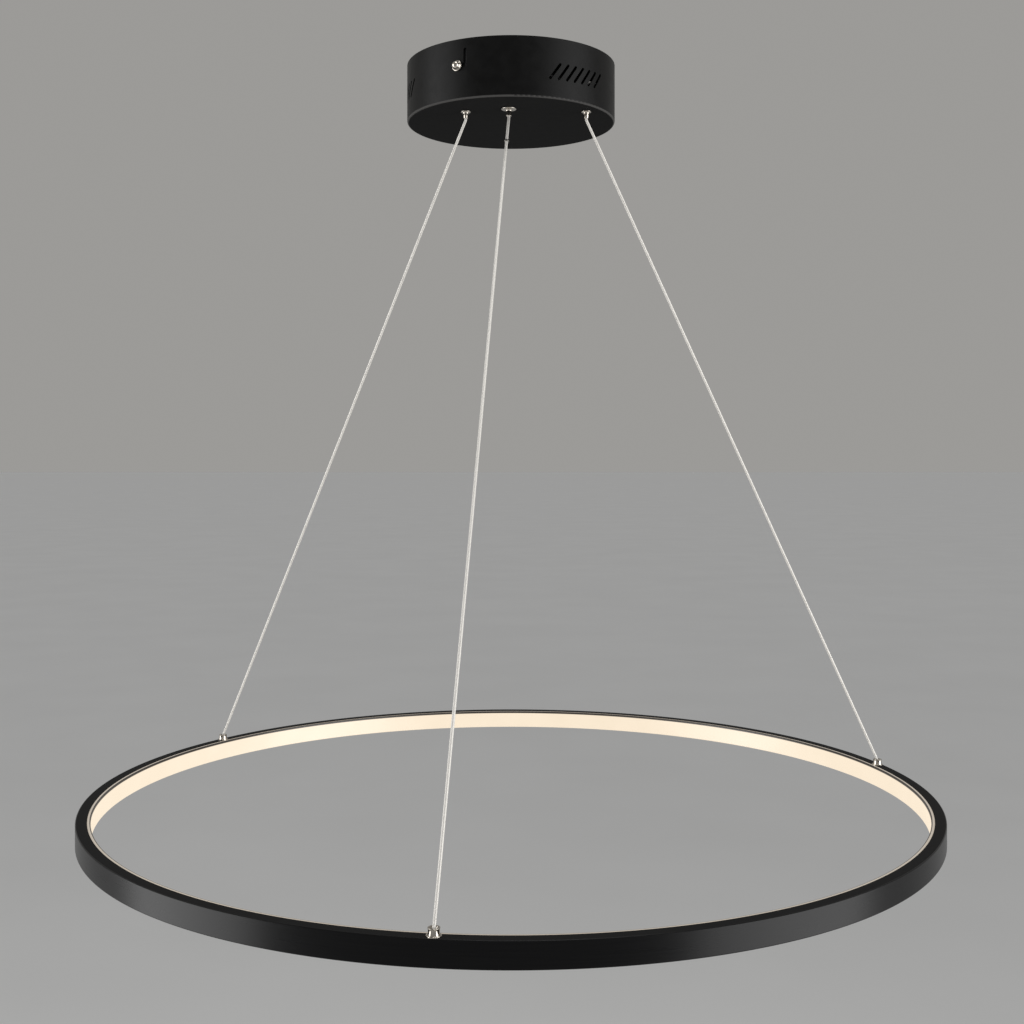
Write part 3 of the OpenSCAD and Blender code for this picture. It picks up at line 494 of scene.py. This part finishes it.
def mottled(name, low, high, size, rough, depth=0.0, grain=None, stretch=EVEN, fixed=None):
    """A finish whose colour and roughness drift over marks of one size, with a finer grain
    that stands out by depth. Fixed holds the shader's numbers that are the same all over."""
    material, tree, shader, place = start_finish(name)
    drift = speckle(tree, place["Object"], size, detail=3.0, stretch=stretch)
    feed(tree, shader, {
        **(fixed or {}),
        "Base Color": add(tree, "ValToRGB", {"Fac": drift},
                          stops=((DRIFT_LOW, low), (DRIFT_HIGH, high)))["Color"],
        "Roughness": add(tree, "MapRange", {"Value": drift, **FROM_DRIFT, "To Min": rough[0],
                                            "To Max": rough[1]})["Result"],
    })
    if depth:
        fine = speckle(tree, place["Object"], grain, stretch=stretch)
        feed(tree, shader, {"Normal": add(tree, "Bump", {
            "Height": fine, "Distance": depth * MM, "Strength": 1.0})["Normal"]})
    return material


def make_powder_coat():
    """Black powder coat on pressed steel: satin on the wall, with the faint orange peel of
    such a coat, drawn at 2.4 mm so that it shows. Underneath, where the powder lies thicker,
    it is more matt. On the rounded rim, where the distance from the axis plus the depth is
    greatest, the colour is painted paler: a painted highlight along the rim."""
    material, tree, shader, place = start_finish("powder_coated_steel")
    drift = speckle(tree, place["Object"], 9.0, detail=3.0)
    height = add(tree, "SeparateXYZ", {"Vector": place["Object"]})["Z"]
    reach = add(tree, "Math", {0: from_axis(tree, place["Object"]), 1: height},
                operation="SUBTRACT")[0]
    corner, highlight_from, highlight_to = CANOPY_R - CANOPY_UNDER, 1.77, 1.3
    rim_highlight = add(tree, "MapRange", {"Value": reach, "From Min": (corner - highlight_from) * MM,
                                    "From Max": (corner - highlight_to) * MM})["Result"]
    black = add(tree, "ValToRGB", {"Fac": drift},
                stops=((DRIFT_LOW, "#070707"), (DRIFT_HIGH, "#0c0c0c")))["Color"]
    # Painted highlight: on the rounded rim the colour is mixed towards a pale grey.
    coat = add(tree, "Mix", {MIX_AMOUNT: rim_highlight, MIX_FROM: black, MIX_TO: linear("#454443")},
               data_type="RGBA")[MIX_RESULT]
    matt = add(tree, "MapRange", {
        "Value": height, "From Min": (CANOPY_UNDER + 0.2) * MM,
        "From Max": (CANOPY_UNDER + 2.0) * MM, "To Min": 0.9, "To Max": 0.42})["Result"]
    uneven = add(tree, "MapRange", {"Value": drift, **FROM_DRIFT, "To Min": -0.04,
                                    "To Max": 0.04})["Result"]
    peel = add(tree, "Bump", {"Height": speckle(tree, place["Object"], 2.4),
                              "Distance": 0.008 * MM, "Strength": 1.0})["Normal"]
    feed(tree, shader, {
        "Base Color": coat,
        "Roughness": add(tree, "Math", {0: matt, 1: uneven}, operation="ADD")[0],
        "Normal": peel,
        "Specular IOR Level": 0.12,
    })
    return material


def make_anodised():
    """Black anodised extrusion: its outer face is satin and reflects the lights in long soft
    strips, and its flats are more matt. Draw lines run round the ring, 0.6 mm apart."""
    material, tree, shader, place = start_finish("black_anodised_aluminium")
    drawn = (0.02, 0.02, 1.0)
    lines = speckle(tree, place["Object"], 1.2, detail=3.0, stretch=drawn)
    black = add(tree, "ValToRGB", {"Fac": lines},
                stops=((DRIFT_LOW, "#050506"), (DRIFT_HIGH, "#09090a")))["Color"]
    satin = add(tree, "MapRange", {
        "Value": from_axis(tree, place["Object"]), "From Min": (RING_R - 1.0) * MM,
        "From Max": (RING_R - 0.75) * MM, "To Min": 0.72, "To Max": 0.28})["Result"]
    uneven = add(tree, "MapRange", {"Value": lines, **FROM_DRIFT, "To Min": -0.008,
                                    "To Max": 0.008})["Result"]
    scored = add(tree, "Bump", {
        "Height": speckle(tree, place["Object"], 0.6, stretch=drawn),
        "Distance": 0.0006 * MM, "Strength": 1.0})["Normal"]
    feed(tree, shader, {
        "Base Color": black,
        "Roughness": add(tree, "Math", {0: satin, 1: uneven}, operation="ADD")[0],
        "Normal": scored,
        "Specular IOR Level": 0.18,
    })
    return material


powder_coat, anodised = make_powder_coat(), make_anodised()

# Each finish below gives its name, its two colours, the size of its marks in mm, its least
# and greatest roughness, and where it has a grain, the depth and the size of that in mm.

# Nickel over turned brass: bright and slightly warm, with turning marks round each piece.
nickel = mottled("polished_nickel", "#b4aea5", "#c4beb5", 0.8, (0.08, 0.15), 0.001, 0.3,
                 (0.2, 0.2, 1.0), METAL)
# Zinc plate on pressed steel: dull silver with a bluish and yellowish drift.
zinc = mottled("zinc_plated_steel", "#a9adb2", "#c6c4bb", 6.0, (0.28, 0.42), 0.003, 0.7,
               fixed=METAL)
# Black zinc plate on the ceiling bracket: a dull near-black, partly painted shade, so that
# its tabs stay dark behind the slots.
black_zinc_and_shade = mottled("black_zinc_and_painted_shade", "#121213", "#1b1b1c", 5.0, (0.48, 0.6), 0.003,
                     0.7, fixed={"Specular IOR Level": 0.25})
# Drawn spring steel, on the springs and the balls: a clean grey with a soft, even shine.
spring_wire = mottled("spring_steel_wire", "#8d8c89", "#b1afab", 1.5, (0.2, 0.3), fixed=METAL)
# Tumbled steel bead: a dull grey that scatters the light.
bead_steel = mottled("satin_steel", "#6f6d69", "#8c8a86", 1.0, (0.32, 0.44), 0.002, 0.3,
                     fixed=METAL)
# Bare turned brass: yellow, and duller in the patches that have begun to tarnish.
brass = mottled("bare_brass", "#b08d45", "#c9a65c", 2.0, (0.22, 0.34), fixed=METAL)
# Moulded ABS of the driver's case: off-white, with the fine even grain of its mould.
moulded_abs = mottled("moulded_abs", "#dcdbd6", "#e6e5e1", 14.0, (0.42, 0.52), 0.02, 0.5)
# Moulded nylon of the terminal block: a milky cream, slightly waxy.
moulded_nylon = mottled("moulded_nylon", "#d5d1c2", "#e2dfd3", 5.0, (0.38, 0.5), 0.01, 0.4)
# Fibreglass board under green lacquer: a glossy green that drifts with the weave below.
fibreglass_board = mottled("fibreglass_board", "#1d5a34", "#2a6e42", 3.0, (0.3, 0.42))
# Moulded epoxy of the parts on the board: black and amber, in patches about a part wide.
parts_epoxy = mottled("moulded_epoxy", "#2c2c2f", "#a58a3c", 12.0, (0.34, 0.5))
# White lacquer on the light strip: bright and even, with a slight gloss.
solder_mask = mottled("white_solder_mask", "#e9e8e2", "#f3f2ee", 4.0, (0.35, 0.45))
# Phosphor gel cast over the light chips: deep yellow, with a wet gloss.
phosphor = mottled("phosphor_gel", "#e8b431", "#f2c64a", 1.0, (0.2, 0.3))
# Moulded rubber of the grommet: a flat black that hardly reflects.
rubber = mottled("moulded_rubber", "#161616", "#202020", 3.0, (0.6, 0.72), 0.01, 0.3)


def insulation(name, low, high):
    """Extruded silicone insulation of a lead: one colour, with a slight sheen and a faint
    drift along it."""
    return mottled(name, low, high, 7.0, (0.38, 0.5), 0.004, 0.5)


brown_lead = insulation("brown_silicone", "#4b2512", "#5a2e18")
black_lead = insulation("black_silicone", "#131314", "#1c1c1e")
white_lead = insulation("white_silicone", "#d9d8d3", "#e5e4e0")
# Shrunk sleeve over the crimps: a smooth black, like a lead's.
black_sleeve = insulation("black_shrink_sleeve", "#101011", "#17171a")


def make_coated_strand():
    """Galvanised strand under clear PVC: six bright strands that wind round the cable, seen
    through a smooth coat. The strands follow the sine of 6 turns round and 1 turn in each
    lay, which is drawn at 18 mm so that it shows."""
    material, tree, shader, place = start_finish("steel_strand_in_clear_pvc")
    strands, lay = 6.0, 18.0
    parts = add(tree, "SeparateXYZ", {"Vector": place["UV"]})
    along = add(tree, "Math", {0: parts["Y"], 1: strands / lay}, operation="MULTIPLY")[0]
    turns = add(tree, "Math", {0: parts["X"], 1: strands, 2: along},
                operation="MULTIPLY_ADD")[0]
    angle = add(tree, "Math", {0: turns, 1: 2 * math.pi}, operation="MULTIPLY")[0]
    wave = add(tree, "Math", {0: angle}, operation="SINE")[0]
    crest = add(tree, "MapRange", {"Value": wave, "From Min": -1.0, "From Max": 1.0})["Result"]
    feed(tree, shader, {
        "Base Color": add(tree, "ValToRGB", {"Fac": crest},
                          stops=((0.0, "#cbc7c1"), (1.0, "#d6d3cd")))["Color"],
        "Roughness": add(tree, "MapRange", {
            "Value": speckle(tree, place["Object"], 40.0), **FROM_DRIFT, "To Min": 0.42,
            "To Max": 0.5})["Result"],
        "Metallic": 0.2,
        "Coat Weight": 0.15,
        "Coat Roughness": 0.3,
    })
    return material


def make_opal():
    """Opal polycarbonate, lit from behind: even and warm on its face, and dimmer on the
    narrow rim that stands proud of the channel, where the light has further to travel. The
    2 mm of the face under the top, which the channel's upper lip shades, glow dimly, and
    their base colour is painted near-black there as painted shade. The glow runs with the
    distance from the ring's axis and with the height."""
    material, tree, shader, place = start_finish("opal_polycarbonate")
    height = add(tree, "SeparateXYZ", {"Vector": place["Object"]})["Z"]
    depth = add(tree, "MapRange", {
        "Value": from_axis(tree, place["Object"]), "From Min": (DIFFUSER_FACE + 0.8) * MM,
        "From Max": (DIFFUSER_FACE + 1.2) * MM})["Result"]
    below = add(tree, "MapRange", {"Value": height, "From Min": (DIFFUSER_TOP - 0.9) * MM,
                                   "From Max": (DIFFUSER_TOP - 2.4) * MM})["Result"]
    shade_end = 0.6
    face = add(tree, "ValToRGB", {"Fac": below},
               stops=((0.0, "#1f1a16"), (shade_end, "#352f29"), (1.0, "#dac8ae")))["Color"]
    glow = add(tree, "Mix", {MIX_AMOUNT: depth, MIX_FROM: face, MIX_TO: linear("#928779")},
               data_type="RGBA")[MIX_RESULT]
    haze = add(tree, "ValToRGB", {"Fac": speckle(tree, place["Object"], 30.0)},
               stops=((DRIFT_LOW, "#86827b"), (DRIFT_HIGH, "#8c8881")))["Color"]
    # Painted shade: in the top 2 mm the base colour goes to near-black, for the shade of the
    # channel's lip.
    shaded = add(tree, "MapRange", {"Value": below, "From Min": shade_end,
                                    "From Max": 1.0})["Result"]
    haze_and_painted_shade = add(tree, "Mix", {MIX_AMOUNT: shaded, MIX_FROM: linear("#1d1b19"),
                                  MIX_TO: haze}, data_type="RGBA")[MIX_RESULT]
    body = add(tree, "Mix", {MIX_AMOUNT: depth, MIX_FROM: haze_and_painted_shade, MIX_TO: haze},
               data_type="RGBA")[MIX_RESULT]
    feed(tree, shader, {
        "Base Color": body,
        "Emission Color": glow,
        "Emission Strength": 1.0,
        "Roughness": 0.35,
    })
    return material


coated_strand = make_coated_strand()
opal = make_opal()


def dress(piece, material):
    """Gives a piece this material alone."""
    piece.data.materials.clear()
    piece.data.materials.append(material)


for place in PLACES:
    dress(cables[place], coated_strand)
for piece in turned_nickel:
    dress(piece, nickel)
for spring in springs:
    dress(spring, spring_wire)
dress(bead, bead_steel)
dress(profile, anodised)
dress(opal_strip, opal)

CAD_FINISHES = {
    powder_coat: ["canopy_shell"],
    nickel: ["gripper_caps"],
    black_zinc_and_shade: ["ceiling_bracket"],
    zinc: ["clinch_nuts", "canopy_studs", "stud_nuts", "driver_strap", "terminal_screws",
           "gripper_washers", "gripper_nuts", "ring_joint", "socket_washers", "socket_nuts"],
    spring_wire: [f"gripper_balls_{place}" for place in PLACES],
    brass: ["earth_screw", "earth_washer", "cable_ferrules"],
    moulded_abs: ["driver_base", "driver_lid"],
    moulded_nylon: ["terminal_block"],
    fibreglass_board: ["driver_board"],
    parts_epoxy: ["driver_parts"],
    solder_mask: ["led_strip"],
    phosphor: ["led_chips"],
    rubber: ["supply_grommet"],
    brown_lead: ["input_leads"],
    black_lead: ["output_leads"],
    white_lead: ["strip_leads"],
    black_sleeve: ["crimp_connectors"],
    coated_strand: ["cable_tails"],
}
for material, names in CAD_FINISHES.items():
    for name in names:
        dress(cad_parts[name], material)


# Stage and light, in metres

# How bright the world is as light, and as the camera and the shiny pieces see it.
SKY, BACKDROP = 0.42, 0.38

bpy.context.scene.view_settings.view_transform = "Standard"


def stage_piece(name, corners, material):
    """A flat stage piece with these corners, in metres, that isn't part of the object."""
    mesh = bpy.data.meshes.new(name)
    mesh.from_pydata(corners, [], [list(range(len(corners)))])
    piece = bpy.data.objects.new(name, mesh)
    bpy.context.scene.collection.objects.link(piece)
    dress(piece, material)


def make_floor():
    """A wide pale floor at a room's height below the ceiling. Its colour and the world's meet
    at the horizon."""
    reach, level = 400.0, -2.4
    corners = [(x * reach, y * reach, level) for x, y in ((-1, -1), (1, -1), (1, 1), (-1, 1))]
    material, tree, shader, place = start_finish("pale_matt_floor")
    feed(tree, shader, {
        "Base Color": add(tree, "ValToRGB", {"Fac": speckle(tree, place["Object"], 900.0)},
                          stops=((DRIFT_LOW, "#eeedea"), (DRIFT_HIGH, "#f1f0ed")))["Color"],
        "Roughness": 0.9,
        "Specular IOR Level": 0.1,
    })
    stage_piece("floor", corners, material)


def make_ceiling_shade():
    """The patch of ceiling over the canopy, near-black as painted shade, so that the canopy's
    inside is dark as seen through the slots and vents. Only the eye's and the mirrored rays
    that come from below meet it: light passes, and from above it isn't there."""
    reach, level, sides = 98.7 * MM, -0.55 * MM, 96
    a = np.linspace(0, 2 * np.pi, sides, endpoint=False)
    rim = np.stack([reach * np.cos(a), reach * np.sin(a), level + 0 * a], -1)
    material = bpy.data.materials.new("painted_shade_plaster")
    material.use_nodes = True
    tree = material.node_tree
    seen = add(tree, "LightPath")
    looks = add(tree, "Math", {0: seen["Is Camera Ray"], 1: seen["Is Glossy Ray"]},
                operation="MAXIMUM")[0]
    from_below = add(tree, "Math", {0: looks, 1: add(tree, "NewGeometry")["Backfacing"]},
                     operation="MULTIPLY")[0]
    clear = add(tree, "BsdfTransparent")[0]
    # Painted shade: the ceiling is drawn near-black, for the shade inside the canopy.
    painted_shade_sheet = add(tree, "BsdfDiffuse", {"Color": linear("#101010")})[0]
    feed(tree, tree.nodes["Material Output"], {
        "Surface": add(tree, "MixShader", {0: from_below, 1: clear, 2: painted_shade_sheet})[0]})
    stage_piece("ceiling_shade", rim.tolist(), material)


def make_world():
    """A soft even sky for the light, which the camera and the shiny pieces see as the pale
    backdrop."""
    world = bpy.data.worlds.new("studio")
    bpy.context.scene.world = world
    world.use_nodes = True
    tree = world.node_tree
    seen = add(tree, "LightPath")
    either = add(tree, "Math", {0: seen["Is Camera Ray"], 1: seen["Is Glossy Ray"]},
                 operation="MAXIMUM")[0]
    looks = add(tree, "Math", {0: either, 1: seen["Is Transmission Ray"]},
                operation="MAXIMUM")[0]
    sky = add(tree, "Background", {"Color": linear("#f4f5f7"), "Strength": SKY})[0]
    backdrop = add(tree, "Background", {"Color": linear("#f0eeea"), "Strength": BACKDROP})[0]
    feed(tree, tree.nodes["World Output"], {
        "Surface": add(tree, "MixShader", {0: looks, 1: sky, 2: backdrop})[0]})


def make_softbox(name, place, size, power):
    """A rectangular soft light at a place, of a width and height, and of a power in watts,
    that faces the middle of the object. A grid keeps it off the floor beside it."""
    data = bpy.data.lights.new(name, "AREA")
    data.shape, data.size, data.size_y = "RECTANGLE", *size
    data.energy = power
    data.spread = math.radians(110)
    lamp = bpy.data.objects.new(name, data)
    bpy.context.scene.collection.objects.link(lamp)
    lamp.visible_camera = False
    lamp.location = place
    aim = Vector((0.0, 0.0, -0.5))
    lamp.rotation_euler = (Vector(place) - aim).to_track_quat("Z", "Y").to_euler()


make_floor()
make_ceiling_shade()
make_world()
make_softbox("left_softbox", (-2.6, -0.5, -0.6), (2.0, 3.2), 29)
make_softbox("right_softbox", (2.4, -1.1, -0.6), (2.4, 3.2), 36)
make_softbox("top_softbox", (0.3, -0.8, 2.4), (1.8, 1.8), 12)
